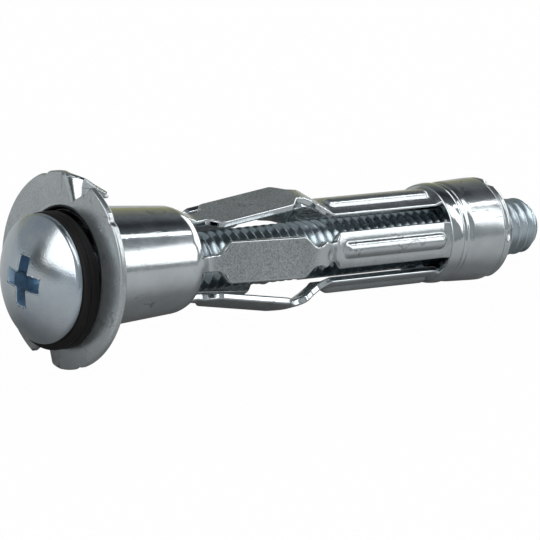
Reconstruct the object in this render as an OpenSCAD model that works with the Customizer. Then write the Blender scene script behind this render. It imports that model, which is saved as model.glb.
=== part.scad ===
// Hollow wall anchor: pressed steel sleeve, captive round nut, pan head screw and retaining ring.
// Each piece is drawn about +Z with the front of the flange at z = 0, then laid down as it rests on a table.

/* [Sheet] */
// Thickness of the sheet the sleeve is pressed from
sheet_t = 0.5; // [0.35:0.05:0.6]

/* [Flange] */
// Diameter of the flange that lies on the wall
flange_d = 13; // [11.5:0.5:18]
// Inside radius of the bend from flange to collar
flange_bend_r = 0.3; // [0.2:0.05:0.4]
// Half angle of each barb notch at the rim
barb_half_deg = 14; // [10:1:18]
// Flat left between the collar bend and the notch's inner corner
barb_root_gap = 0.1; // [0.05:0.05:0.4]
// Angle each barb is bent back toward the wall
barb_bend_deg = 38; // [20:1:45]
// Bend radius on the wall side of the barb
barb_bend_r = 0.25; // [0.15:0.05:0.5]
// Reach of the barb's tip from its bend line
barb_reach = 2.1; // [1.6:0.1:2.2]
// Shift of the barb's tip along the bend line
barb_tip_shift = 0.3; // [0.25:0.05:0.35]
// Distance the barb's outer corner stays inside the rim
barb_inset = 0.2; // [0.1:0.05:0.4]
// Depth of the tool nicks in the rim
rim_nick_depth = 0.15; // [0.05:0.05:0.3]
// Radius of the tool nicks in the rim
rim_nick_r = 0.4; // [0.2:0.05:0.8]
// Angle from a barb to the nick on its bend side
rim_nick_bend_deg = 30; // [22:1:40]
// Angle from a barb to the nick on its free side
rim_nick_free_deg = 40; // [30:1:60]

/* [Collar] */
// Collar diameter where it leaves the flange
collar_d_front = 8.3; // [7.8:0.1:9]
// Collar diameter at its shoulder
collar_d_back = 7.15; // [6.9:0.05:7.6]
// Collar diameter at its cut end
collar_d_end = 6.7; // [6.4:0.05:6.8]
// Distance from the flange front to the shoulder
shoulder_z = 8.7; // [6:0.1:14]
// Length of the drawn-in shoulder
shoulder_len = 0.55; // [0.45:0.05:1]
// Outside radius of the shoulder
shoulder_r = 1.4; // [1:0.1:1.8]

/* [Legs] */
// Number of legs around the sleeve
leg_count = 5; // [3:1:5]
// Turn of the legs from the barb line
leg_turn_deg = -30.5; // [-45:0.1:45]
// Step from the shoulder's outside down to the leg
leg_step = 0.05; // [0.02:0.01:0.1]
// Drop in radius from the collar end to the root bend
root_drop = 0.4; // [0.3:0.05:0.5]
// Distance from the collar end to the root bend
root_gap = 0.9; // [0.7:0.05:1.2]
// Rise in radius from the root bend to the sharp knee
panel_rise = 1.27; // [1:0.01:1.4]
// Distance from the root bend to the sharp knee
panel_len = 8.6; // [7:0.1:16]
// Distance from the sharp knee to the strip
knee_drop_len = 2.15; // [1.8:0.05:2.6]
// Outside bend radius of the knee
knee_bend_r = 3; // [2:0.1:3.2]
// Width of the panel
panel_w = 2.85; // [2.2:0.05:3.2]
// Width of the root neck
root_neck_w = 1.15; // [0.9:0.05:1.6]
// Length of the root neck past the root bend
root_neck_len = 0.75; // [0.4:0.05:1.2]
// Length of the panel's slanted corners
panel_corner_len = 0.9; // [0.5:0.05:1.2]
// Width of the knee neck
knee_neck_w = 1.3; // [1:0.05:1.8]
// Length of the knee neck in front of its ears
knee_neck_len = 0.5; // [0.2:0.05:0.8]
// Width across the ears of the knee neck
knee_ear_w = 1.75; // [1.4:0.05:2.2]
// Distance from the sharp knee to the ears
knee_ear_gap = 0.45; // [0.2:0.05:0.8]
// Length of the ears and of their slopes
knee_ear_len = 0.4; // [0.2:0.05:0.6]
// Diameter of the pressed dimple on the knee
knee_dimple_d = 0.6; // [0.3:0.05:0.8]

/* [Strips] */
// Step from the strip's outside down to the end of the knee
strip_step = 0.1; // [0.05:0.01:0.15]
// Length of the strips between knee and tail ring
strip_len = 10.1; // [7:0.05:16]
// Chord width of each strip
strip_w = 2.6; // [2:0.05:3]
// Length of the strip's slanted front corners
strip_corner_len = 0.55; // [0.3:0.05:1]
// Width of the raised rib along each strip
rib_w = 1.15; // [0.9:0.05:1.4]
// Height of the raised rib
rib_h = 0.26; // [0.15:0.01:0.35]
// Diameter of the channel behind the rib
rib_channel_d = 0.5; // [0.3:0.05:0.6]
// Plain length left at each end of the rib
rib_end_gap = 0.65; // [0.4:0.05:1]

/* [Tail] */
// Rise in radius from the strips to the tail ring
ring_rise = 0.24; // [0.2:0.02:0.36]
// Distance from the slots to the bead
bead_gap = 0.6; // [0.4:0.05:1]
// Length of the bead
bead_len = 0.35; // [0.2:0.05:0.8]
// Height of the bead at the front of the ring
bead_h = 0.1; // [0.04:0.01:0.15]
// Length of the slopes beside the groove
groove_slope_len = 0.3; // [0.2:0.05:0.6]
// Length of the groove behind the bead
groove_len = 0.3; // [0.2:0.05:0.6]
// Rise in radius from the groove to the cup
cup_rise = 0.1; // [0.05:0.01:0.15]
// Rise in radius along the cup
cup_flare = 0.09; // [0.04:0.01:0.15]
// Length of the cup's flaring part
cup_len = 2.4; // [1.8:0.1:4]
// Straight length between cup and lip
lip_straight = 0.6; // [0.3:0.1:1]
// Outside radius of the rolled lip
lip_r = 0.65; // [0.55:0.05:0.9]
// Width of the lip's flat behind the nut
lip_turn = 0.4; // [0.3:0.02:0.5]
// Diameter of the crimp dents in the lip
crimp_d = 0.6; // [0.3:0.05:0.8]

/* [Nut] */
// Length of the captive nut
nut_len = 2.6; // [2:0.1:2.7]
// Wall of the nut around its thread
nut_wall = 0.675; // [0.5:0.025:0.8]
// Gap all round between a centred nut and the cup
nut_gap = 0.2; // [0.15:0.01:0.22]
// Gap between nut and lip
nut_end_gap = 0.05; // [0.05:0.01:0.1]
// Chamfer of the nut's outer edges
nut_chamfer = 0.25; // [0.2:0.05:0.4]

/* [Screw] */
// Outside diameter of the screw thread
thread_d = 3.92; // [3.7:0.01:4]
// Gap between thread and nut bore
thread_gap = 0.03; // [0.01:0.01:0.08]
// Distance the loose head end hangs below the sleeve's axis
screw_sag = 0.45; // [0.25:0.05:0.5]
// Length of screw showing behind the lip
screw_tail_len = 4; // [2:0.1:14]
// Diameter of the flat at the screw's tip
screw_tip_d = 3.1; // [2.6:0.1:3.4]
// Length of the tip chamfer
screw_tip_len = 0.6; // [0.3:0.1:1]
// Head diameter
head_d = 8.5; // [7.6:0.1:8.8]
// Height of the straight rim of the head
head_rim_h = 0.4; // [0.2:0.05:0.8]
// Height of the dome above the rim
head_dome_h = 1.45; // [1.2:0.05:2.4]
// Length across the arms of the cross recess
recess_w = 3.6; // [2.8:0.1:4]
// Length across the arms at the recess floor
recess_floor_w = 1.9; // [1.4:0.1:2.4]
// Thickness of each recess arm
recess_arm_t = 0.85; // [0.6:0.05:1.1]
// Depth of the recess from the top of the dome
recess_depth = 1.4; // [1:0.1:1.6]
// Turn of the recess from the barb line
recess_turn_deg = -6; // [-45:1:45]

/* [Ring] */
// Outside diameter of the retaining ring under the head
ring_d = 9.3; // [9:0.1:9.6]
// Thickness of the retaining ring
ring_t = 1.2; // [0.8:0.1:1.6]
// Edge rounding of the retaining ring
ring_edge_r = 0.35; // [0.2:0.05:0.4]
// Gap between ring bore and thread
ring_gap = 0.06; // [0.04:0.01:0.1]
// Gap left where the head and the ring seat
seat_gap = 0.02; // [0.01:0.01:0.05]

/* [Hidden] */
$fn = 96;
bend_steps = 6;
over = 0.4;
sink = 0.3;
flange_r = flange_d / 2;
barb_root_r = collar_d_front / 2 + flange_bend_r + barb_root_gap;
collar_end_z = shoulder_z + shoulder_len;
shoulder_slope = (collar_d_back - collar_d_end) / 2 / shoulder_len;
root_z = collar_end_z + root_gap;
root_r = collar_d_end / 2 - root_drop;
knee_z = root_z + panel_len;
knee_r = root_r + panel_rise;
strip_z = knee_z + knee_drop_len;
nut_bore_r = thread_d / 2 + thread_gap;
nut_r = nut_bore_r + nut_wall;
tail_r = nut_r + nut_gap + sheet_t;
strip_r = tail_r - ring_rise;
slot_z = strip_z + strip_len;
bead_z0 = slot_z + bead_gap;
bead_z1 = bead_z0 + bead_len;
bead_r = tail_r + bead_h;
groove_z0 = bead_z1 + groove_slope_len;
groove_z1 = groove_z0 + groove_len;
cup_z0 = groove_z1 + groove_slope_len;
cup_z1 = cup_z0 + cup_len;
cup_front_r = tail_r + cup_rise;
cup_r = cup_front_r + cup_flare;
lip_z = cup_z1 + lip_straight + lip_r;
lip_bore_r = cup_r - lip_r - lip_turn;
tip_z = lip_z + screw_tail_len;
rib_r = (rib_w * rib_w / 4 + rib_h * rib_h) / (2 * rib_h);
rib_axis_r = strip_r + rib_h - rib_r;
channel_axis_r = strip_r - sheet_t + rib_channel_d / 4;
nut_z1 = lip_z - sheet_t - nut_end_gap;
nut_z0 = nut_z1 - nut_len;
nut_mid_z = (nut_z0 + nut_z1) / 2;
nut_drop = nut_gap - seat_gap;
sag_deg = atan2(screw_sag - nut_drop, nut_mid_z);
ring_z1 = -seat_gap - ring_d / 2 * sin(sag_deg);
ring_z0 = ring_z1 - ring_t;
head_z1 = ring_z0 - seat_gap;
head_z0 = head_z1 - head_rim_h;
dome_z = head_z0 - head_dome_h;
dome_r = (head_d * head_d / 4 + head_dome_h * head_dome_h) / (2 * head_dome_h);
notch_rim_x = flange_r * cos(barb_half_deg);
notch_rim_y = flange_r * sin(barb_half_deg);
crease_len = norm([notch_rim_x - barb_root_r, notch_rim_y]);
crease_deg = atan2(notch_rim_y, notch_rim_x - barb_root_r);
rest_tilt = atan2(notch_rim_x - cup_r, lip_z - lip_r - sheet_t);
rest_lift = notch_rim_x * cos(rest_tilt) + sheet_t * sin(rest_tilt);
screw_tilt = rest_tilt - sag_deg;
rest_nut_x = nut_mid_z * cos(rest_tilt) - nut_drop * sin(rest_tilt);
rest_tail_x = rest_nut_x + (tip_z - nut_mid_z) * cos(screw_tilt) + screw_tip_d / 2 * sin(screw_tilt);
rest_head_x = rest_nut_x - (nut_mid_z - dome_z - dome_r) * cos(screw_tilt) - dome_r;
rest_shift = (rest_tail_x + rest_head_x) / 2;

// Points of a path of sheet: corners, their bends, and the same path moved sideways by the thickness.
function unit(v) = v / norm(v);
function right_of(v) = [v[1], -v[0]];
function heading(path, i) = unit(path[i + 1] - path[i]);
function side_in(path, i) = right_of(heading(path, max(i - 1, 0)));
function side_out(path, i) = right_of(heading(path, min(i, len(path) - 2)));
function moved(path, d) = [for (i = [0 : len(path) - 1])
    path[i] + d * (side_in(path, i) + side_out(path, i)) / (1 + side_in(path, i) * side_out(path, i))];
function turn_sign(a, b, c) = cross(b - a, c - b) > 0 ? 1 : -1;
function short_turn(a) = a > 180 ? a - 360 : (a < -180 ? a + 360 : a);
function bend(a, b, c, r) = let(
    u = unit(a - b),
    w = unit(c - b),
    half = acos(u * w) / 2,
    m = b + unit(u + w) * r / sin(half),
    s = b + u * r / tan(half) - m,
    e = b + w * r / tan(half) - m,
    from = atan2(s[1], s[0]),
    sweep = short_turn(atan2(e[1], e[0]) - from)
) [for (i = [0 : bend_steps]) m + r * [cos(from + sweep * i / bend_steps), sin(from + sweep * i / bend_steps)]];
function rounded(path, radii) = [for (i = [0 : len(path) - 1])
    each (radii[i] > 0 ? bend(path[i - 1], path[i], path[i + 1], radii[i]) : [path[i]])];
function moved_radii(path, radii, d) = [for (i = [0 : len(path) - 1])
    radii[i] > 0 ? radii[i] + d * turn_sign(path[i - 1], path[i], path[i + 1]) : 0];
function reversed(list) = [for (i = [len(list) - 1 : -1 : 0]) list[i]];

module sheet_2d(path, radii) {
    inner = rounded(moved(path, -sheet_t), moved_radii(path, radii, -sheet_t));
    polygon(concat(rounded(path, radii), reversed(inner)));
}

module lay_down() {
    translate([-rest_shift, 0, rest_lift]) rotate([0, 90 + rest_tilt, 0]) children();
}

// The screw's own axis: the loose nut lies on the cup's wall, and the head end hangs in the wide collar.
module on_screw_axis() {
    lay_down() translate([nut_drop, 0, nut_mid_z]) rotate([0, -sag_deg, 0]) translate([0, 0, -nut_mid_z])
        children();
}

// Flange, collar and shoulder as one turned shape.
module front_shell() {
    path = [
        [flange_r, sheet_t],
        [collar_d_front / 2, sheet_t],
        [collar_d_back / 2, shoulder_z],
        [collar_d_end / 2, collar_end_z]
    ];
    rotate_extrude() sheet_2d(path, [0, flange_bend_r, shoulder_r, 0]);
}

// Frame of a barb: its inner corner at the origin, its bend line along +X.
module at_barb() {
    translate([barb_root_r, 0, 0]) rotate([0, 0, -crease_deg]) children();
}

module notch() {
    far = 2 * crease_len;
    at_barb() translate([0, 0, -over]) linear_extrude(sheet_t + 2 * over)
        polygon([[0, 0], [far, 0], far * [cos(2 * crease_deg), sin(2 * crease_deg)]]);
}

// Barb bent back about the notch's edge: a short bend and a three-cornered flap, tied into the flange.
module barb() {
    axis_z = sheet_t + barb_bend_r;
    bend_w = crease_len - barb_inset;
    at_barb() {
        translate([sink, -sink, sheet_t / 4]) cube([bend_w - 2 * sink, sink + barb_bend_r / 2, sheet_t / 2]);
        translate([0, 0, axis_z]) rotate([0, 90, 0]) rotate_extrude(angle = barb_bend_deg)
            translate([barb_bend_r, 0]) square([sheet_t, bend_w]);
        translate([0, 0, axis_z]) rotate([barb_bend_deg, 0, 0]) translate([0, 0, -axis_z])
            linear_extrude(sheet_t) polygon([[0, 0], [bend_w, 0], [barb_tip_shift, barb_reach]]);
    }
}

// Small tool marks in the rim on both sides of a barb.
module rim_nicks() {
    for (a = [-rim_nick_bend_deg, rim_nick_free_deg])
        rotate([0, 0, a]) translate([flange_r + rim_nick_r - rim_nick_depth, 0, -over])
            cylinder(r = rim_nick_r, h = sheet_t + 2 * over);
}

module flange_and_collar() {
    difference() {
        front_shell();
        for (a = [0, 180]) rotate([0, 0, a]) {
            notch();
            rim_nicks();
        }
    }
    for (a = [0, 180]) rotate([0, 0, a]) barb();
}

// Outline of a leg laid flat: across, along the axis.
module leg_outline() {
    panel_z0 = root_z + root_neck_len;
    ear_z0 = knee_z + knee_ear_gap;
    neck_z0 = ear_z0 - knee_ear_len - knee_neck_len;
    half = [
        [root_neck_w / 2, collar_end_z - sink],
        [root_neck_w / 2, panel_z0],
        [panel_w / 2, panel_z0 + panel_corner_len],
        [panel_w / 2, neck_z0 - panel_corner_len],
        [knee_neck_w / 2, neck_z0],
        [knee_neck_w / 2, neck_z0 + knee_neck_len],
        [knee_ear_w / 2, ear_z0],
        [knee_ear_w / 2, ear_z0 + knee_ear_len],
        [knee_neck_w / 2, ear_z0 + 2 * knee_ear_len],
        [knee_neck_w / 2, strip_z],
        [strip_w / 2, strip_z + strip_corner_len],
        [strip_w / 2, slot_z + sink]
    ];
    polygon(concat(half, [for (p = reversed(half)) [-p[0], p[1]]]));
}

// Rib on a strip, or the channel behind it: a bar with round ends.
module round_bar(axis_r, r, z0, z1) {
    end_steps = 6;
    cap = [for (i = [0 : end_steps]) [r * sin(90 * i / end_steps), r * (1 - cos(90 * i / end_steps))]];
    translate([axis_r, 0, 0]) rotate_extrude()
        polygon(concat([for (p = cap) [p[0], z0 + p[1]]], [for (p = reversed(cap)) [p[0], z1 - p[1]]]));
}

module strip_shell() {
    difference() {
        translate([0, 0, strip_z - sink]) cylinder(r = strip_r, h = strip_len + 2 * sink);
        translate([0, 0, strip_z - over]) cylinder(r = strip_r - sheet_t, h = strip_len + 2 * over);
    }
}

module leg_plate() {
    start_r = collar_d_end / 2 + shoulder_slope * sink - leg_step;
    end_r = strip_r - strip_step;
    path = [
        [start_r, collar_end_z - sink],
        [root_r, root_z],
        [knee_r, knee_z],
        [end_r, strip_z],
        [end_r, strip_z + 2 * sink]
    ];
    rotate([90, 0, 0]) linear_extrude(panel_w + 2 * over, center = true)
        sheet_2d(path, [0, sheet_t, knee_bend_r, sheet_t, 0]);
}

module leg() {
    difference() {
        union() {
            intersection() {
                union() {
                    leg_plate();
                    strip_shell();
                }
                rotate([90, 0, 90]) linear_extrude(flange_r) leg_outline();
            }
            difference() {
                round_bar(rib_axis_r, rib_r, strip_z + rib_end_gap, slot_z - rib_end_gap + sink);
                cylinder(r = strip_r - sheet_t / 2, h = lip_z);
            }
        }
        round_bar(channel_axis_r, rib_channel_d / 2, strip_z + 2 * rib_end_gap, slot_z - rib_end_gap);
        translate([knee_r, 0, knee_z - knee_ear_len]) sphere(d = knee_dimple_d);
    }
}

// Ring, bead and cup with the lip rolled in behind the nut.
module tail_shell() {
    path = [
        [tail_r, slot_z],
        [bead_r, bead_z0],
        [bead_r, bead_z1],
        [tail_r, groove_z0],
        [tail_r, groove_z1],
        [cup_front_r, cup_z0],
        [cup_r, cup_z1],
        [cup_r, lip_z],
        [lip_bore_r, lip_z]
    ];
    difference() {
        rotate_extrude() sheet_2d(path, [0, 0, 0, 0, 0, 0, 0, lip_r, 0]);
        for (i = [0 : leg_count - 1]) rotate([0, 0, leg_turn_deg + i * 360 / leg_count])
            translate([cup_r, 0, lip_z - lip_r / 2]) sphere(d = crimp_d);
    }
}

module sleeve() {
    color([0.72, 0.75, 0.78]) lay_down() union() {
        flange_and_collar();
        for (i = [0 : leg_count - 1]) rotate([0, 0, leg_turn_deg + i * 360 / leg_count]) leg();
        tail_shell();
    }
}

module nut() {
    color([0.5, 0.53, 0.57]) on_screw_axis() rotate_extrude() polygon([
        [nut_bore_r, nut_z0],
        [nut_r - nut_chamfer, nut_z0],
        [nut_r, nut_z0 + nut_chamfer],
        [nut_r, nut_z1 - nut_chamfer],
        [nut_r - nut_chamfer, nut_z1],
        [nut_bore_r, nut_z1]
    ]);
}

// One pair of recess arms, narrowing toward the floor.
module recess_arm() {
    top = dome_z - over;
    rotate([90, 0, 0]) linear_extrude(recess_arm_t, center = true) polygon([
        [-recess_w / 2, top],
        [recess_w / 2, top],
        [recess_floor_w / 2, dome_z + recess_depth],
        [0, dome_z + recess_depth + sink],
        [-recess_floor_w / 2, dome_z + recess_depth]
    ]);
}

module screw() {
    color([0.66, 0.7, 0.75]) on_screw_axis() difference() {
        union() {
            intersection() {
                translate([0, 0, dome_z + dome_r]) sphere(r = dome_r);
                translate([0, 0, dome_z - over]) cylinder(d = head_d, h = head_z1 - dome_z + over);
            }
            translate([0, 0, head_z0]) cylinder(d = thread_d, h = tip_z - screw_tip_len - head_z0);
            translate([0, 0, tip_z - screw_tip_len])
                cylinder(d1 = thread_d, d2 = screw_tip_d, h = screw_tip_len);
        }
        for (a = [0, 90]) rotate([0, 0, recess_turn_deg + a]) recess_arm();
    }
}

module ring() {
    bore_r = thread_d / 2 + ring_gap;
    path = [
        [bore_r, ring_z0],
        [ring_d / 2, ring_z0],
        [ring_d / 2, ring_z1],
        [bore_r, ring_z1]
    ];
    color([0.05, 0.05, 0.06]) on_screw_axis() rotate_extrude()
        polygon(rounded(path, [0, ring_edge_r, ring_edge_r, 0]));
}

sleeve();
nut();
screw();
ring();
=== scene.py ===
"""Looks of the hollow wall anchor: a pressed zinc sleeve, its screw and its retaining ring.

Each piece is drawn in millimetres about +Z, with the front of the flange at z = 0 and +X facing the table,
and is then laid down into the shared frame, in metres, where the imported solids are.
"""

import math

import bmesh
import bpy
from mathutils import Matrix, Vector


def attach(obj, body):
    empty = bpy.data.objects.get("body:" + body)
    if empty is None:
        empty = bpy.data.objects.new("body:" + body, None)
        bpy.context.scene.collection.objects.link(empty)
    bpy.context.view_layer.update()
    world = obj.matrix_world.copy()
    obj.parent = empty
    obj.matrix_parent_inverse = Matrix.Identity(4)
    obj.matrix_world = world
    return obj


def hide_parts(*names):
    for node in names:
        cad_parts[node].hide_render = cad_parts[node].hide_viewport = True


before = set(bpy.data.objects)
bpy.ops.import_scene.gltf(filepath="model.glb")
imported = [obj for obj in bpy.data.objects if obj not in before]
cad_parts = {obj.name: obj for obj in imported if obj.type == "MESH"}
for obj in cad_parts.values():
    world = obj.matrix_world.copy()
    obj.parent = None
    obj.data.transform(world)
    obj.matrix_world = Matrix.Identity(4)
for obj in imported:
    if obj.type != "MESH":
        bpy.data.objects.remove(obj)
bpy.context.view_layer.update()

MM = 0.001

# Places, as in the part's source
REST_TILT = math.radians(4.4514)
REST_LIFT = 6.3267
REST_SHIFT = 18.653
SCREW_SAG = math.radians(0.4465)
NUT_DROP = 0.18
NUT_MID_Z = 34.65

# Flange and barbs
SHEET_T = 0.5
SHEET_EDGE_R = 0.14
FLANGE_R = 6.5
FLANGE_BEND_R = 0.3
FLANGE_WEAR = 0.5
BARB_TURNS = (0, math.pi)
BARB_ROOT_R = 4.55
BARB_HALF = math.radians(14)
BARB_BEND = math.radians(55)
BARB_BEND_R = 0.5
BARB_BEND_GROWTH = 1.5
BARB_BEND_STEPS = 14
BARB_SPAN = 1.36
BARB_TIP_SHIFT = -0.1
BARB_TIP_TAPER = 0.88
BARB_AREA_R = 4.0
RIM_NICK_DEPTH = 0.15
RIM_NICK_R = 0.26
RIM_NICKS = (math.radians(-30), math.radians(40))

# Collar
COLLAR_FRONT_R = 4.15
COLLAR_BACK_R = 3.575
COLLAR_END_R = 3.35
COLLAR_END_Z = 9.25
COLLAR_STEPS = 360
SHOULDER_Z = 8.7
SHOULDER_R = 1.6

# Legs
LEG_COUNT = 5
LEG_TURN = math.radians(-30.5)
LEG_COLUMNS = 10
LEG_COLUMN_SHARES = (0.0, 0.15, 0.29, 0.4, 0.475, 0.523, 0.57, 0.66, 0.82, 1.0)
EDGE_MARGIN = 0.21
ROOT_R, ROOT_Z = 2.95, 10.15
KNEE_R, KNEE_Z = 4.22, 18.75
STRIP_R, STRIP_Z = 3.125, 20.9
SLOT_Z = 31.0
STRIP_END_Z = SLOT_Z + 0.4
STRIP_RISE, STRIP_RISE_Z = 0.17, (30.45, 31.1)
COLUMNS_SPREAD_Z = (9.3, 9.9)
NECK_FLATTENS_Z = (9.5, 10.5)
STRIP_ROUNDS_Z = (20.5, 21.3)
PANEL_WEAR_Z = (9.4, 11.0)
STRIP_WEAR, STRIP_WEAR_Z = 0.3, (17.6, 18.8)
DIMPLE_Y, DIMPLE_Z = 0.08, 19.75
DIMPLE_DEPTH, DIMPLE_SPREAD = 0.06, 0.06
RIB_Z0, RIB_Z1 = 21.4, 30.65
RIB_HALF_W = 0.575
RIB_H = 0.26
RIB_LINE_DEPTH, RIB_LINE_W = 0.03, 0.14
# (place along the leg, half its width)
LEG_HALF_WIDTH = (
    (COLLAR_END_Z, 0.582), (10.75, 0.575), (11.8, 1.425), (17.25, 1.425), (18.4, 0.68), (18.75, 0.68),
    (19.35, 0.88), (20.25, 0.68), (20.7, 0.68), (21.45, 1.3), (STRIP_END_Z, 1.3),
)
# (place along the leg, distance from the axis, half length of the bend there)
LEG_PATH = (
    (COLLAR_END_Z, COLLAR_END_R, 0.0), (ROOT_Z, ROOT_R, 0.3), (KNEE_Z, KNEE_R, 0.95), (STRIP_Z, STRIP_R, 0.25),
    (STRIP_END_Z, STRIP_R, 0.0),
)
# (end of a stretch of the leg, distance between its rows)
LEG_ROWS = (
    (12.2, 0.12), (17.0, 0.4), (21.4, 0.1), (22.3, 0.05), (29.7, 0.4), (30.8, 0.05), (STRIP_END_Z, 0.1),
)

# Tail cup
TAIL_R = 3.365
TAIL_STEPS = 192
BEAD_R = 3.465
BEAD_Z0, BEAD_Z1 = 31.5, 31.95
FURROW_R, FURROW_Z0, FURROW_Z1 = TAIL_R - 0.02, 32.1, 32.55
RIDGE_R, RIDGE_Z = TAIL_R + 0.06, 32.32
CUP_FRONT_R = 3.465
CUP_R = 3.555
CUP_Z0, CUP_Z1 = 32.85, 35.25
CUP_WEAR, CUP_WEAR_Z = 0.25, (32.4, 33.2)
LIP_Z = 36.5
LIP_R = 0.48
LIP_OUTER_R = CUP_R - 0.02
LIP_BORE_R = 2.505
LIP_GROOVE_Z, LIP_GROOVE = 35.8, 0.1
LIP_GROOVE_HALF_W = 0.04
CRIMP_DEPTH, CRIMP_R = 0.38, 0.32

# Screw
PITCH = 0.7
THREAD_R = 1.96
THREAD_ROOT_R = 1.55
THREAD_STEPS = 48
THREAD_DOUBLINGS = 6
# Section of one turn: (radius, height)
THREAD_FORM = (
    (THREAD_ROOT_R, 0.0), (THREAD_ROOT_R, 0.1), (THREAD_R - 0.03, 0.34), (THREAD_R, 0.37), (THREAD_R, 0.43),
    (THREAD_R - 0.03, 0.46), (THREAD_ROOT_R, PITCH),
)
TIP_Z = 40.5
TIP_R = 1.55
TIP_LEN = 0.6
HEAD_R = 4.25
HEAD_Z1 = -1.2762
HEAD_STEPS = 128
HEAD_RIM_R = 0.14
HEAD_EDGE_R = 0.07
DOME_Z = -3.1262
DOME_R = 6.9534
DOME_STEPS = 24
RECESS_W = 3.6
RECESS_FLOOR_W = 1.9
RECESS_ARM_T = 0.95
RECESS_DEPTH = 1.4
RECESS_TURN = math.radians(-6)
RECESS_PIT_R = 0.8
RECESS_PIT_DEPTH = 0.15
RECESS_SKIN = 0.04
CUTTER_OVER = 0.3

# Retaining ring
RING_R = 4.52
RING_BORE_R = 2.2
RING_HANG = 0.2
RING_Z0, RING_Z1 = -1.2562, -0.0562
RING_FRONT_R = 0.4
RING_BACK_R = 0.12
RING_GROOVE_R = RING_R - 0.07
RING_STEPS = 160

# Finishes: depth of the bumps, in metres
BUMP_DEPTH = 0.00002

# Camera at the photo's angle
PHOTO_PX = 540
FOCAL_PX = 4876
SENSOR_W = 36
CAMERA_PLACE = Vector((-198.375, -231.478, 125.638))
RIGHT = Vector((0.78342, -0.61242, 0.10578))
DOWN = Vector((-0.15364, -0.35577, -0.92186))
AHEAD = Vector((0.6022, 0.70595, -0.37281))

# Floor and room, in metres
FLOOR_SIZE = 3
FLOOR_SHADE_REACH = 0.03
FLOOR_SEEN_BY_CAMERA = 0.985
FLOOR_SEEN_IN_METAL = 0.05
BLACK_CARD_SIDE = Vector((-0.93, 0.42, 0.14))


# Drawing


def laid_down():
    """The sleeve's own frame, in millimetres, as it lies on the table, in metres."""
    c, s = math.cos(REST_TILT), math.sin(REST_TILT)
    turn = Matrix(((-s, 0, c, -REST_SHIFT), (0, 1, 0, 0), (-c, 0, -s, REST_LIFT), (0, 0, 0, 1)))
    return Matrix.Scale(MM, 4) @ turn


def on_screw_axis():
    """The screw's own frame: it hangs a little in the sleeve, turned about its nut."""
    to_nut = Matrix.Translation((NUT_DROP, 0, NUT_MID_Z))
    return laid_down() @ to_nut @ Matrix.Rotation(-SCREW_SAG, 4, "Y") @ Matrix.Translation((0, 0, -NUT_MID_Z))


def smooth_step(a, b, x):
    """0 up to a, 1 from b on, eased between them."""
    t = min(max((x - a) / (b - a), 0.0), 1.0)
    return t * t * (3 - 2 * t)


def through(stations, x):
    """A value eased from each station (place, value) to the next."""
    for (x0, v0), (x1, v1) in zip(stations, stations[1:]):
        if x <= x1:
            return v0 + (v1 - v0) * smooth_step(x0, x1, x)
    return stations[-1][1]


def draw_profile(bm, corners, start=0.0):
    """A chain of edges through (radius, z, tangent length of its rounding) corners, at a start angle."""
    c, s = math.cos(start), math.sin(start)
    verts = [bm.verts.new((r * c, r * s, z)) for r, z, _ in corners]
    for a, b in zip(verts, verts[1:]):
        bm.edges.new((a, b))
    for vert, (_, _, tangent) in zip(verts, corners):
        if tangent:
            bmesh.ops.bevel(bm, geom=[vert], offset=tangent, offset_type="OFFSET", segments=6, profile=0.5,
                            affect="VERTICES", material=-1)


def turn_profile(bm, steps):
    """Spins the whole chain once round the axis and closes its seam."""
    bmesh.ops.spin(bm, geom=bm.verts[:] + bm.edges[:], cent=(0, 0, 0), axis=(0, 0, 1), dvec=(0, 0, 0),
                   angle=2 * math.pi, steps=steps, use_merge=True, use_duplicate=False)
    bmesh.ops.remove_doubles(bm, verts=bm.verts[:], dist=1e-4)


def face_outwards(bm, outside):
    """Turns all faces the same way, with the normals pointing as the outermost face's should."""
    bmesh.ops.recalc_face_normals(bm, faces=bm.faces[:])
    bm.faces.ensure_lookup_table()
    face = max(bm.faces, key=lambda f: outside.dot(f.calc_center_median()))
    if face.normal.dot(outside) < 0:
        bmesh.ops.reverse_faces(bm, faces=bm.faces[:])


def put_in_scene(name, bm):
    """Turns a finished drawing into an object in the scene."""
    mesh = bpy.data.meshes.new(name)
    bm.to_mesh(mesh)
    bm.free()
    thing = bpy.data.objects.new(name, mesh)
    bpy.context.scene.collection.objects.link(thing)
    return thing


def move_drawing(bm, place):
    bmesh.ops.transform(bm, matrix=place, space=Matrix.Identity(4), verts=bm.verts[:])


def add_piece(name, bm, place, body, node, finish):
    """Lays a drawn piece into the shared frame and hands it to its body."""
    move_drawing(bm, place)
    piece = put_in_scene(name, bm)
    piece.data.shade_smooth()
    piece.data.materials.append(finish)
    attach(piece, body)
    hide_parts(node)
    return piece


def soften_edges(piece, edge_r, limit_deg):
    """Rounds the edges that are sharper than the limit."""
    edge = piece.modifiers.new("edge", "BEVEL")
    edge.width = edge_r * MM
    edge.segments = 3
    edge.limit_method = "ANGLE"
    edge.angle_limit = math.radians(limit_deg)
    edge.harden_normals = True
    edge.use_clamp_overlap = False
    edge.loop_slide = False


def thicken_sheet(piece, edge_r):
    """Gives a drawn surface the sheet's thickness, inwards, and rounds its cut edges."""
    wall = piece.modifiers.new("sheet", "SOLIDIFY")
    wall.thickness = SHEET_T * MM
    wall.offset = -1
    wall.use_even_offset = True
    soften_edges(piece, edge_r, 60)


# Sleeve: flange, barbs, collar and legs from one sheet


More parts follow.
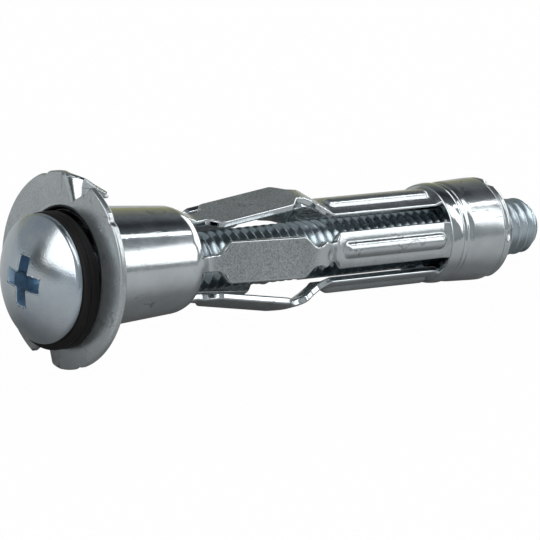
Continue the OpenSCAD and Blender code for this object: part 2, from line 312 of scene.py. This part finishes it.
def leg_radius(z):
    """Distance of the leg's outside from the axis: straight runs with eased bends between them."""
    runs = [((r1 - r0) / (z1 - z0)) for (z0, r0, _), (z1, r1, _) in zip(LEG_PATH, LEG_PATH[1:])]
    for (z0, r0, _), (z1, _, ease), run, ahead in zip(LEG_PATH, LEG_PATH[1:], runs, runs[1:] + [0.0]):
        if z <= z1 + ease or z1 == STRIP_END_Z:
            bend = max(z - (z1 - ease), 0.0)
            turn = (ahead - run) * bend * bend / (4 * ease) if ease else 0.0
            rise = STRIP_RISE * smooth_step(*STRIP_RISE_Z, z)
            return r0 + run * (z - z0) + turn + rise
    return STRIP_R


def rib_height(y, z):
    """Height of the pressed rib above the strip, with the faint line round its foot."""
    reach = math.hypot(y, max(RIB_Z0 + RIB_HALF_W - z, z - RIB_Z1 + RIB_HALF_W, 0.0))
    round_r = (RIB_HALF_W ** 2 + RIB_H ** 2) / (2 * RIB_H)
    crown = max(math.sqrt(max(round_r ** 2 - reach ** 2, 0.0)) - (round_r - RIB_H), 0.0)
    return crown - RIB_LINE_DEPTH * math.exp(-((reach - RIB_HALF_W) / RIB_LINE_W) ** 2)


def leg_point(column, z):
    """A point of a leg's outside, with the leg facing +X."""
    half_width = through(LEG_HALF_WIDTH, z)
    y = half_width
    if abs(column) < LEG_COLUMNS:
        y = LEG_COLUMN_SHARES[abs(column)] * (half_width - EDGE_MARGIN)
    even = half_width * abs(column) / LEG_COLUMNS
    y = math.copysign(even + (y - even) * smooth_step(*COLUMNS_SPREAD_Z, z), column)
    r = leg_radius(z)
    roundness = 1 - smooth_step(*NECK_FLATTENS_Z, z) + smooth_step(*STRIP_ROUNDS_Z, z)
    x = r - roundness * (r - math.sqrt(r * r - y * y)) + rib_height(y, z)
    dimple = math.exp(-((y - DIMPLE_Y) ** 2 + (z - DIMPLE_Z) ** 2) / DIMPLE_SPREAD)
    return Vector((x - DIMPLE_DEPTH * dimple, y, z))


def leg_stations():
    """Places of the leg's rows, from the collar to the tail cup."""
    z, out = COLLAR_END_Z, []
    for end, step in LEG_ROWS:
        while z < end - step / 2:
            z += step
            out.append(z)
    return out


def leg_turns():
    """Turn of each leg about the axis."""
    return [LEG_TURN + leg * 2 * math.pi / LEG_COUNT for leg in range(LEG_COUNT)]


def draw_leg():
    """One leg facing +X, grown row by row from the edge of the collar."""
    bm = bmesh.new()
    worn = bm.verts.layers.float.new("worn")
    step = 2 * math.pi / COLLAR_STEPS
    row = []
    for column in range(-LEG_COLUMNS, LEG_COLUMNS + 1):
        angle = column * step
        row.append(bm.verts.new((COLLAR_END_R * math.cos(angle), COLLAR_END_R * math.sin(angle), COLLAR_END_Z)))
    edges = [bm.edges.new(pair) for pair in zip(row, row[1:])]
    for z in leg_stations():
        grown = bmesh.ops.extrude_edge_only(bm, edges=edges)["geom"]
        edges = [g for g in grown if isinstance(g, bmesh.types.BMEdge)]
        row = sorted((g for g in grown if isinstance(g, bmesh.types.BMVert)), key=lambda v: v.co.y)
        for column, vert in enumerate(row):
            vert.co = leg_point(column - LEG_COLUMNS, z)
            if 0 < column < 2 * LEG_COLUMNS:
                vert[worn] = smooth_step(*PANEL_WEAR_Z, z) * (1 - (1 - STRIP_WEAR) * smooth_step(*STRIP_WEAR_Z, z))
    mesh = bpy.data.meshes.new("leg")
    bm.to_mesh(mesh)
    bm.free()
    return mesh


def cut_barb(bm, turn):
    """Cuts one V notch in the flange and bends its flap back about the notch's edge."""
    spin = Matrix.Rotation(turn, 4, "Z")
    rim = Vector((FLANGE_R * math.cos(BARB_HALF), FLANGE_R * math.sin(BARB_HALF), SHEET_T))
    root = Vector((BARB_ROOT_R, 0, SHEET_T))
    lean = math.atan2(rim.y, rim.x - root.x)
    width = (rim - root).length
    root = spin @ root
    along = {side: spin.to_3x3() @ Vector((math.cos(lean), side * math.sin(lean), 0)) for side in (-1, 1)}
    mid = spin.to_3x3() @ Vector((1, 0, 0))

    def near():
        return [f for f in bm.faces if f.calc_center_median().dot(mid) > BARB_AREA_R and abs(f.normal.z) > 0.9]

    for side in (-1, 1):
        faces = near()
        parts = {e for f in faces for e in f.edges} | {v for f in faces for v in f.verts}
        bmesh.ops.bisect_plane(bm, geom=faces + list(parts), dist=1e-5, plane_co=root,
                               plane_no=along[side].cross(Vector((0, 0, 1))))
    inside = []
    for face in near():
        reach = face.calc_center_median() - root
        if reach.dot(mid) > 0 and reach.normalized().dot(mid) > math.cos(lean):
            inside.append(face)
    bmesh.ops.delete(bm, geom=inside, context="FACES")

    bend_line = along[-1]
    crease = []
    for edge in bm.edges:
        places = [v.co - root for v in edge.verts]
        on_line = all((p - bend_line * p.dot(bend_line)).length < 1e-3 and p.dot(bend_line) > -1e-3 for p in places)
        if edge.is_boundary and on_line:
            crease.append(edge)
    flat = set(bm.verts)
    bent = bmesh.ops.spin(bm, geom=crease, cent=root + Vector((0, 0, BARB_BEND_R)), axis=bend_line, dvec=(0, 0, 0),
                          angle=BARB_BEND, steps=BARB_BEND_STEPS, use_merge=False, use_duplicate=False)
    for vert in set(bm.verts) - flat:
        place = (vert.co - root).dot(bend_line)
        foot = root + bend_line * place
        offset = (vert.co - foot) * (1 + BARB_BEND_GROWTH * place / width)
        trim = offset.length * math.tan(lean) * place / width
        vert.co = foot + offset - bend_line * trim
    row = [g for g in bent["geom_last"] if isinstance(g, bmesh.types.BMEdge)]
    flap = bmesh.ops.extrude_edge_only(bm, edges=row)
    tip_verts = [g for g in flap["geom"] if isinstance(g, bmesh.types.BMVert)]
    across = Matrix.Rotation(BARB_BEND, 3, bend_line) @ Vector((0, 0, 1)).cross(bend_line)
    for vert in tip_verts:
        place = (vert.co - root).dot(bend_line)
        bend_r = BARB_BEND_R * (1 + BARB_BEND_GROWTH * place / width)
        reach = (BARB_SPAN - bend_r * math.sin(BARB_BEND)) / math.cos(BARB_BEND)
        vert.co += across * reach + bend_line * (BARB_TIP_SHIFT - BARB_TIP_TAPER * place)
    worn = bm.verts.layers.float["worn"]
    for vert in set(bm.verts) - flat:
        vert[worn] = 0.0


def nick_rim(bm):
    """Presses the small nicks beside each barb into the flange's rim."""
    for vert in bm.verts:
        flat = Vector((vert.co.x, vert.co.y, 0))
        if flat.length > FLANGE_R - 1e-3:
            for barb in BARB_TURNS:
                for nick in RIM_NICKS:
                    centre = Vector((math.cos(barb + nick), math.sin(barb + nick), 0)) * FLANGE_R
                    depth = RIM_NICK_DEPTH * math.exp(-((flat - centre).length / RIM_NICK_R) ** 2)
                    vert.co -= flat.normalized() * depth


def draw_collar_and_legs():
    """The outside of the sheet from the flange's rim to the ends of the legs."""
    bm = bmesh.new()
    shoulder_turn = math.atan2(COLLAR_BACK_R - COLLAR_END_R, COLLAR_END_Z - SHOULDER_Z)
    taper = math.atan2(COLLAR_FRONT_R - COLLAR_BACK_R, SHOULDER_Z - SHEET_T)
    draw_profile(bm, (
        (FLANGE_R, SHEET_T, 0),
        (COLLAR_FRONT_R, SHEET_T, FLANGE_BEND_R * math.tan(math.pi / 4 + taper / 2)),
        (COLLAR_BACK_R, SHOULDER_Z, SHOULDER_R * math.tan((shoulder_turn - taper) / 2)),
        (COLLAR_END_R, COLLAR_END_Z, 0),
    ), LEG_TURN)
    turn_profile(bm, COLLAR_STEPS)
    face_outwards(bm, Vector((0, 0, 1)))
    nick_rim(bm)
    worn = bm.verts.layers.float.new("worn")
    for vert in bm.verts:
        if abs(vert.co.z - SHEET_T) < 1e-3:
            vert[worn] = FLANGE_WEAR
    for barb in BARB_TURNS:
        cut_barb(bm, barb)
    leg = draw_leg()
    for turn in leg_turns():
        before = set(bm.verts)
        bm.from_mesh(leg)
        grown = [v for v in bm.verts if v not in before]
        bmesh.ops.rotate(bm, verts=grown, cent=(0, 0, 0), matrix=Matrix.Rotation(turn, 3, "Z"))
    bpy.data.meshes.remove(leg)
    bmesh.ops.remove_doubles(bm, verts=bm.verts[:], dist=1e-3)
    face_outwards(bm, Vector((0, -1, 0)))
    return bm


def draw_tail():
    """The tail cup as one closed section: outside, rolled lip, inside."""
    bm = bmesh.new()
    inside = CUP_R - SHEET_T
    draw_profile(bm, (
        (TAIL_R - SHEET_T / 2, SLOT_Z, 0), (TAIL_R, SLOT_Z, 0.1),
        (BEAD_R, BEAD_Z0, 0.18), (BEAD_R, BEAD_Z1, 0.12),
        (FURROW_R, FURROW_Z0, 0.06), (RIDGE_R, RIDGE_Z, 0.06), (FURROW_R, FURROW_Z1, 0.06),
        (CUP_FRONT_R, CUP_Z0, 0.12), (CUP_R, CUP_Z1, 0.3), (CUP_R, LIP_GROOVE_Z - 0.2, 0.08),
        (CUP_R - LIP_GROOVE, LIP_GROOVE_Z - LIP_GROOVE_HALF_W, 0.05),
        (CUP_R - LIP_GROOVE, LIP_GROOVE_Z + LIP_GROOVE_HALF_W, 0.03),
        (LIP_OUTER_R, LIP_GROOVE_Z + 0.16, 0.06), (LIP_OUTER_R, LIP_Z, LIP_R),
        (LIP_BORE_R, LIP_Z, 0.1), (LIP_BORE_R, LIP_Z - SHEET_T, 0.1),
        (inside, LIP_Z - SHEET_T, 0.15), (inside, CUP_Z0, 0.1),
        (TAIL_R - SHEET_T, CUP_Z0 - 0.3, 0.1), (TAIL_R - SHEET_T, SLOT_Z, 0.1), (TAIL_R - SHEET_T / 2, SLOT_Z, 0),
    ))
    turn_profile(bm, TAIL_STEPS)
    face_outwards(bm, Vector((0, -1, 0)))
    for angle in leg_turns():
        centre = Vector((CUP_R * math.cos(angle), CUP_R * math.sin(angle), LIP_Z - LIP_R / 2))
        for vert in bm.verts:
            depth = CRIMP_DEPTH * math.exp(-((vert.co - centre).length / CRIMP_R) ** 2)
            vert.co -= Vector((vert.co.x, vert.co.y, 0)).normalized() * depth
    worn = bm.verts.layers.float.new("worn")
    for vert in bm.verts:
        vert[worn] = CUP_WEAR * smooth_step(*CUP_WEAR_Z, vert.co.z)
    return bm


# Screw and ring


def draw_head():
    """The domed head, with its underside, as one turned shape."""
    bm = bmesh.new()
    arc = bm.verts.new((0, 0, DOME_Z))
    bmesh.ops.spin(bm, geom=[arc], cent=(0, 0, DOME_Z + DOME_R), axis=(0, -1, 0), dvec=(0, 0, 0),
                   angle=math.asin(HEAD_R / DOME_R), steps=DOME_STEPS, use_merge=False, use_duplicate=False)
    rim = max(bm.verts, key=lambda v: v.co.x)
    last = rim
    for r, z in ((HEAD_R, HEAD_Z1), (THREAD_ROOT_R, HEAD_Z1)):
        new = bm.verts.new((r, 0, z))
        bm.edges.new((last, new))
        last = new
    bmesh.ops.bevel(bm, geom=[rim], offset=HEAD_RIM_R, offset_type="OFFSET", segments=4, profile=0.5,
                    affect="VERTICES", material=-1)
    turn_profile(bm, HEAD_STEPS)
    face_outwards(bm, Vector((0, 0, -1)))
    return bm


def draw_recess_cutter():
    """Two tapering arms crossed, as a driver's tip, with a pit in the middle."""
    bm = bmesh.new()
    top = DOME_Z - CUTTER_OVER
    floor_z = DOME_Z + RECESS_DEPTH
    grow = 1 + CUTTER_OVER / RECESS_DEPTH * (1 - RECESS_FLOOR_W / RECESS_W)
    for arm in (0, math.pi / 2):
        made = bmesh.ops.create_cube(bm, size=1)
        for vert in made["verts"]:
            at_floor = vert.co.z > 0
            width = RECESS_FLOOR_W if at_floor else RECESS_W * grow
            thick = RECESS_ARM_T * (0.82 if at_floor else 1.05)
            vert.co = Vector((vert.co.x * width, vert.co.y * thick, floor_z if at_floor else top))
        bmesh.ops.rotate(bm, verts=made["verts"], cent=(0, 0, 0), matrix=Matrix.Rotation(RECESS_TURN + arm, 3, "Z"))
    pit = bmesh.ops.create_cone(bm, cap_ends=True, segments=8, radius1=RECESS_PIT_R * grow,
                                radius2=RECESS_PIT_R * 0.55, depth=floor_z - top + RECESS_PIT_DEPTH)
    bmesh.ops.rotate(bm, verts=pit["verts"], cent=(0, 0, 0), matrix=Matrix.Rotation(RECESS_TURN + math.pi / 8, 3, "Z"))
    bmesh.ops.translate(bm, verts=pit["verts"], vec=(0, 0, (floor_z + top + RECESS_PIT_DEPTH) / 2))
    return bm


def cut_recess(head, recess_finish):
    """Cuts the cross recess in the head and gives its walls their own finish."""
    cutter_bm = draw_recess_cutter()
    move_drawing(cutter_bm, on_screw_axis())
    cutter = put_in_scene("recess_cutter", cutter_bm)
    cut = head.modifiers.new("recess", "BOOLEAN")
    cut.object = cutter
    cut.operation = "DIFFERENCE"
    cut.solver = "EXACT"
    cut.use_self = True
    bpy.context.view_layer.update()
    cut_mesh = bpy.data.meshes.new_from_object(head.evaluated_get(bpy.context.evaluated_depsgraph_get()))
    head.modifiers.clear()
    head.data = cut_mesh
    cut_mesh.materials.append(recess_finish)
    dome_centre = on_screw_axis() @ Vector((0, 0, DOME_Z + DOME_R))
    for face in cut_mesh.polygons:
        below_dome = (face.center - dome_centre).length < (DOME_R - RECESS_SKIN) * MM
        in_recess = (on_screw_axis().inverted() @ face.center).xy.length < RECESS_W / 2
        face.material_index = 1 if below_dome and in_recess else 0
    cut_mesh.name = "screw_head"
    bpy.data.objects.remove(cutter)


def cut_square(bm, z, above):
    """Cuts the drawing square to the axis and drops what lies above the cut, or else below it."""
    bmesh.ops.bisect_plane(bm, geom=bm.verts[:] + bm.edges[:] + bm.faces[:], dist=1e-5, plane_co=(0, 0, z),
                           plane_no=(0, 0, 1), clear_inner=not above, clear_outer=above)


def draw_thread():
    """One turn of thread, doubled up the screw, cut off square at both ends, with a chamfered tip."""
    bm = bmesh.new()
    start = HEAD_Z1 - 1.0
    verts = [bm.verts.new((r, 0, start + z)) for r, z in THREAD_FORM]
    for a, b in zip(verts, verts[1:]):
        bm.edges.new((a, b))
    bmesh.ops.spin(bm, geom=bm.verts[:] + bm.edges[:], cent=(0, 0, 0), axis=(0, 0, 1),
                   dvec=(0, 0, PITCH / THREAD_STEPS), angle=2 * math.pi, steps=THREAD_STEPS, use_merge=False,
                   use_duplicate=False)
    for doubling in range(THREAD_DOUBLINGS):
        copy = bmesh.ops.duplicate(bm, geom=bm.verts[:] + bm.edges[:] + bm.faces[:])
        new = [g for g in copy["geom"] if isinstance(g, bmesh.types.BMVert)]
        bmesh.ops.translate(bm, verts=new, vec=(0, 0, PITCH * 2 ** doubling))
    bmesh.ops.remove_doubles(bm, verts=bm.verts[:], dist=1e-3)
    cut_square(bm, HEAD_Z1 + 0.05, above=False)
    cut_square(bm, TIP_Z, above=True)
    rim = [e for e in bm.edges if e.is_boundary and all(abs(v.co.z - TIP_Z) < 1e-4 for v in e.verts)]
    bmesh.ops.holes_fill(bm, edges=rim, sides=0)
    for vert in bm.verts:
        limit = TIP_R + (THREAD_R - TIP_R) * (TIP_Z - vert.co.z) / TIP_LEN
        reach = math.hypot(vert.co.x, vert.co.y)
        if vert.co.z > TIP_Z - TIP_LEN and reach > limit:
            vert.co.x *= limit / reach
            vert.co.y *= limit / reach
    face_outwards(bm, Vector((0, -1, 0)))
    return bm


def draw_ring():
    """The retaining ring, with the fine groove round its outside."""
    bm = bmesh.new()
    mid = (RING_Z0 + RING_Z1) / 2
    draw_profile(bm, (
        (RING_BORE_R, mid, 0), (RING_BORE_R, RING_Z0, 0.1), (RING_R, RING_Z0, RING_FRONT_R),
        (RING_R, mid - 0.12, 0.05), (RING_GROOVE_R, mid - 0.04, 0.03), (RING_GROOVE_R, mid + 0.02, 0.03),
        (RING_R, mid + 0.1, 0.05), (RING_R, RING_Z1, RING_BACK_R), (RING_BORE_R, RING_Z1, 0.1),
        (RING_BORE_R, mid, 0),
    ))
    bmesh.ops.remove_doubles(bm, verts=bm.verts[:], dist=1e-4)
    turn_profile(bm, RING_STEPS)
    face_outwards(bm, Vector((0, -1, 0)))
    return bm


# Finishes


def new_finish(name):
    finish = bpy.data.materials.new(name)
    finish.use_nodes = True
    tree = finish.node_tree
    return finish, tree, tree.nodes["Principled BSDF"]


def feed(tree, socket, value):
    """Links another node's output to a socket, or sets a plain number on it."""
    if isinstance(value, bpy.types.NodeSocket):
        tree.links.new(value, socket)
    else:
        socket.default_value = value


def noise(tree, place, scale, detail, roughness=0.5):
    node = tree.nodes.new("ShaderNodeTexNoise")
    node.inputs["Scale"].default_value = scale
    node.inputs["Detail"].default_value = detail
    node.inputs["Roughness"].default_value = roughness
    tree.links.new(place, node.inputs["Vector"])
    return node.outputs["Fac"]


def reckon(tree, operation, *values):
    """A sum, product or limit of values."""
    node = tree.nodes.new("ShaderNodeMath")
    node.operation = operation
    for socket, value in zip(node.inputs, values):
        feed(tree, socket, value)
    return node.outputs["Value"]


def rescale(tree, value, to, span=(0.0, 1.0), eased=False):
    """Carries a value from a span to another range."""
    node = tree.nodes.new("ShaderNodeMapRange")
    if eased:
        node.interpolation_type = "SMOOTHSTEP"
    node.inputs["From Min"].default_value, node.inputs["From Max"].default_value = span
    node.inputs["To Min"].default_value, node.inputs["To Max"].default_value = to
    tree.links.new(value, node.inputs["Value"])
    return node.outputs["Result"]


def shades(tree, value, stops, blend="LINEAR"):
    """Colours along a value, through (place, colour) stops."""
    node = tree.nodes.new("ShaderNodeValToRGB")
    node.color_ramp.interpolation = blend
    while len(node.color_ramp.elements) < len(stops):
        node.color_ramp.elements.new(0.5)
    for element, (place, colour) in zip(node.color_ramp.elements, stops):
        element.position = place
        element.color = (*colour, 1)
    tree.links.new(value, node.inputs["Fac"])
    return node.outputs["Color"]


def bumps(tree, height, strength, under=None):
    """Fine relief, laid over another where one is given."""
    node = tree.nodes.new("ShaderNodeBump")
    node.inputs["Distance"].default_value = BUMP_DEPTH
    feed(tree, node.inputs["Strength"], strength)
    tree.links.new(height, node.inputs["Height"])
    if under:
        tree.links.new(under, node.inputs["Normal"])
    return node.outputs["Normal"]


def zinc(name, bright, dull, rough, worn_rough, sandy=0.12, crack_shade=1.0):
    """Zinc plate: a cool metal with cloudy patches, drawing marks, specks and hairlines, sandier where worn."""
    finish, tree, shader = new_finish(name)
    place = tree.nodes.new("ShaderNodeTexCoord").outputs["Object"]
    wear_map = tree.nodes.new("ShaderNodeAttribute")
    wear_map.attribute_name = "worn"
    worn = wear_map.outputs["Fac"]
    along = tree.nodes.new("ShaderNodeMapping")
    along.inputs["Scale"].default_value = (260, 7000, 7000)
    tree.links.new(place, along.inputs["Vector"])
    cloud = noise(tree, place, 420, 6, 0.65)
    sand = noise(tree, place, 8500, 2)
    marks = noise(tree, along.outputs["Vector"], 1, 3)
    crack = noise(tree, place, 150, 5)

    specks = rescale(tree, sand, (1.0, 0.55), (0.68, 0.78))
    dulled = rescale(tree, worn, (1.0, 0.64))
    grain = rescale(tree, sand, (-0.2, 0.2), (0.32, 0.68))
    grainy = reckon(tree, "MULTIPLY_ADD", worn, grain, dulled)
    from_line = reckon(tree, "ABSOLUTE", reckon(tree, "SUBTRACT", crack, 0.5))
    hairline = rescale(tree, from_line, (crack_shade, 1.0), (0.0, 0.006))
    sound = rescale(tree, cloud, (1.0, 0.0), (0.5, 0.58))
    cracked = reckon(tree, "MAXIMUM", hairline, sound)
    tone = reckon(tree, "MULTIPLY", reckon(tree, "MULTIPLY", specks, cracked), grainy)
    specked = tree.nodes.new("ShaderNodeVectorMath")
    specked.operation = "SCALE"
    tree.links.new(shades(tree, cloud, ((0.35, dull), (0.62, bright))), specked.inputs["Vector"])
    tree.links.new(tone, specked.inputs["Scale"])
    tree.links.new(specked.outputs["Vector"], shader.inputs["Base Color"])

    gloss = rescale(tree, cloud, rough, (0.3, 0.7))
    tree.links.new(reckon(tree, "MULTIPLY_ADD", worn, worn_rough, gloss), shader.inputs["Roughness"])
    drawn = bumps(tree, marks, 0.06)
    sanded = bumps(tree, sand, rescale(tree, worn, (sandy, 0.5)), drawn)
    tree.links.new(sanded, shader.inputs["Normal"])
    tree.links.new(rescale(tree, worn, (1.0, 0.7)), shader.inputs["Metallic"])
    return finish


def black_rubber(name):
    """Satin black, with a fine grain."""
    finish, tree, shader = new_finish(name)
    grain = noise(tree, tree.nodes.new("ShaderNodeTexCoord").outputs["Object"], 2600, 5)
    shade = shades(tree, grain, ((0.0, (0.003, 0.003, 0.003)), (1.0, (0.009, 0.008, 0.007))))
    tree.links.new(shade, shader.inputs["Base Color"])
    shader.inputs["Specular IOR Level"].default_value = 0.25
    tree.links.new(rescale(tree, grain, (0.42, 0.6)), shader.inputs["Roughness"])
    tree.links.new(bumps(tree, grain, 0.15), shader.inputs["Normal"])
    return finish


sleeve_zinc = zinc("sleeve_zinc", (0.64, 0.68, 0.7), (0.55, 0.59, 0.6), (0.08, 0.16), 0.26, 0.2, 0.55)
screw_zinc = zinc("screw_zinc", (0.6, 0.65, 0.67), (0.48, 0.55, 0.62), (0.13, 0.22), 0.2, 0.3)
nut_zinc = zinc("nut_zinc", (0.5, 0.53, 0.56), (0.38, 0.41, 0.44), (0.28, 0.4), 0.2)
recess_zinc = zinc("recess_zinc", (0.55, 0.7, 0.82), (0.3, 0.44, 0.58), (0.32, 0.48), 0.2)
# The thread's zinc is a darker copy of the screw head's: painted shade on the thread
thread_zinc_painted_shade = zinc("thread_zinc_painted_shade", (0.54, 0.62, 0.66), (0.4, 0.48, 0.52), (0.19, 0.28), 0.2)
ring_black = black_rubber("ring_black")

# Pieces
collar_and_legs = add_piece("collar_and_legs", draw_collar_and_legs(), laid_down(), "anchor", "sleeve",
                            sleeve_zinc)
thicken_sheet(collar_and_legs, SHEET_EDGE_R)
add_piece("tail_cup", draw_tail(), laid_down(), "anchor", "sleeve", sleeve_zinc)

screw_head = add_piece("screw_head", draw_head(), on_screw_axis(), "screw", "screw", screw_zinc)
cut_recess(screw_head, recess_zinc)
soften_edges(screw_head, HEAD_EDGE_R, 40)
add_piece("screw_thread", draw_thread(), on_screw_axis(), "screw", "screw", thread_zinc_painted_shade)
add_piece("seal_ring", draw_ring(), on_screw_axis() @ Matrix.Translation((RING_HANG, 0, 0)), "ring", "ring",
          ring_black)

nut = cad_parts["nut"]
nut.data.materials.clear()
nut.data.materials.append(nut_zinc)

# Camera
camera_data = bpy.data.cameras.new("camera")
camera_data.sensor_fit = "HORIZONTAL"
camera_data.sensor_width = SENSOR_W
camera_data.lens = FOCAL_PX / PHOTO_PX * SENSOR_W
camera_data.clip_start = 0.01
camera = bpy.data.objects.new("camera", camera_data)
camera.matrix_world = Matrix.Translation(CAMERA_PLACE * MM) @ Matrix((RIGHT, -DOWN, -AHEAD)).transposed().to_4x4()
bpy.context.scene.collection.objects.link(camera)
bpy.context.scene.camera = camera

# Floor: white paper to the camera, nearly dark in the metal, with painted shade in its colour close under the anchor
floor_bm = bmesh.new()
bmesh.ops.create_grid(floor_bm, x_segments=1, y_segments=1, size=FLOOR_SIZE)
floor = put_in_scene("floor", floor_bm)
floor_finish, floor_tree, floor_shader = new_finish("pale_floor")
# Ambient occlusion darkens the floor's colour close under the anchor: painted shade
close_shade = floor_tree.nodes.new("ShaderNodeAmbientOcclusion")
close_shade.inputs["Distance"].default_value = FLOOR_SHADE_REACH
floor_painted_shade = shades(floor_tree, close_shade.outputs["AO"], ((0.7, (0.22, 0.22, 0.22)), (0.98, (0.68, 0.685, 0.68))))
floor_tree.links.new(floor_painted_shade, floor_shader.inputs["Base Color"])
floor_shader.inputs["Roughness"].default_value = 0.9
floor.data.materials.append(floor_finish)
ray = floor_tree.nodes.new("ShaderNodeLightPath").outputs
paper = floor_tree.nodes.new("ShaderNodeEmission")
paper.inputs["Strength"].default_value = 1.0
seen_in_metal = reckon(floor_tree, "ADD", ray["Is Glossy Ray"], ray["Is Transmission Ray"])
metal_share = reckon(floor_tree, "MULTIPLY", seen_in_metal, FLOOR_SEEN_IN_METAL)
paper_share = reckon(floor_tree, "MULTIPLY_ADD", ray["Is Camera Ray"], FLOOR_SEEN_BY_CAMERA, metal_share)
seen = floor_tree.nodes.new("ShaderNodeMixShader")
floor_tree.links.new(paper_share, seen.inputs[0])
floor_tree.links.new(floor_shader.outputs[0], seen.inputs[1])
floor_tree.links.new(paper.outputs[0], seen.inputs[2])
floor_tree.links.new(seen.outputs[0], floor_tree.nodes["Material Output"].inputs["Surface"])

# Studio: a pale room that darkens overhead behind the anchor
world = bpy.data.worlds.new("studio")
bpy.context.scene.world = world
world.use_nodes = True
room = world.node_tree
way = room.nodes.new("ShaderNodeTexCoord").outputs["Generated"]
up = room.nodes.new("ShaderNodeSeparateXYZ")
room.links.new(way, up.inputs[0])


def facing(side):
    """How far a way through the room points to a side."""
    node = room.nodes.new("ShaderNodeVectorMath")
    node.operation = "DOT_PRODUCT"
    node.inputs[1].default_value = side
    room.links.new(way, node.inputs[0])
    return node.outputs["Value"]


# Share of the half turn from level in front of the anchor, over the top, to level behind it
over_top = reckon(room, "DIVIDE", reckon(room, "ARCTAN2", up.outputs["Z"], facing((0, -1, 0))), math.pi)
right_wall = shades(room, over_top, (
    (0.0, (0.3, 0.32, 0.33)), (0.12, (0.34, 0.36, 0.37)), (0.36, (0.24, 0.26, 0.28)), (0.5, (0.08, 0.09, 0.1)),
    (0.62, (0.03, 0.034, 0.04)), (0.75, (0.12, 0.13, 0.14)), (0.88, (0.24, 0.245, 0.2)), (1.0, (0.4, 0.38, 0.2)),
), "EASE")
left_wall = shades(room, over_top, (
    (0.0, (0.5, 0.52, 0.53)), (0.3, (0.38, 0.4, 0.42)), (0.5, (0.2, 0.21, 0.24)), (0.7, (0.26, 0.28, 0.3)),
    (1.0, (0.34, 0.36, 0.37)),
), "EASE")
walls = room.nodes.new("ShaderNodeMix")
walls.data_type = "RGBA"
room.links.new(rescale(room, up.outputs["X"], (0.0, 1.0), (-0.35, 0.25), eased=True), walls.inputs[0])
room.links.new(left_wall, walls.inputs[6])
room.links.new(right_wall, walls.inputs[7])
black_card = rescale(room, facing(BLACK_CARD_SIDE.normalized()), (1.0, 0.3), (0.93, 0.975), eased=True)
room.links.new(walls.outputs[2], room.nodes["Background"].inputs["Color"])
room.links.new(black_card, room.nodes["Background"].inputs["Strength"])


def soft_box(name, place, back, width, height, radiance, lean_deg=0):
    """A lamp in metres that faces away from its back, its long side level until it leans."""
    data = bpy.data.lights.new(name, "AREA")
    data.shape = "RECTANGLE"
    data.size = width
    data.size_y = height
    data.energy = radiance * math.pi * (width * height)
    lamp = bpy.data.objects.new(name, data)
    back = back.normalized()
    side = Vector((0, 0, 1)).cross(back).normalized()
    side = Matrix.Rotation(math.radians(lean_deg), 3, back) @ side
    lamp.matrix_world = Matrix.Translation(place) @ Matrix((side, back.cross(side), back)).transposed().to_4x4()
    bpy.context.scene.collection.objects.link(lamp)


def over_axis(along, rise_deg):
    """A place 1 m from the anchor's axis: 0 is level in front of it, 90 overhead."""
    a = math.radians(rise_deg)
    return Vector((along, -math.cos(a), math.sin(a)))


soft_box("right_box", over_axis(0.85, 48.8), over_axis(0, 48.8), 2.0, 0.56, 2.0, -38)
soft_box("left_box", Vector((-0.83, -0.03, 0.56)), Vector((-0.83, -0.03, 0.56)), 1.0, 0.8, 1.8)
soft_box("tail_box", Vector((1.0, 0.2, 0.32)), Vector((1.0, 0, 0)), 1.0, 0.42, 2.0)
soft_box("top_strip", over_axis(1.07, 79), over_axis(0, 79), 0.64, 0.07, 9.0, 12)

bpy.context.scene.view_settings.view_transform = "Standard"
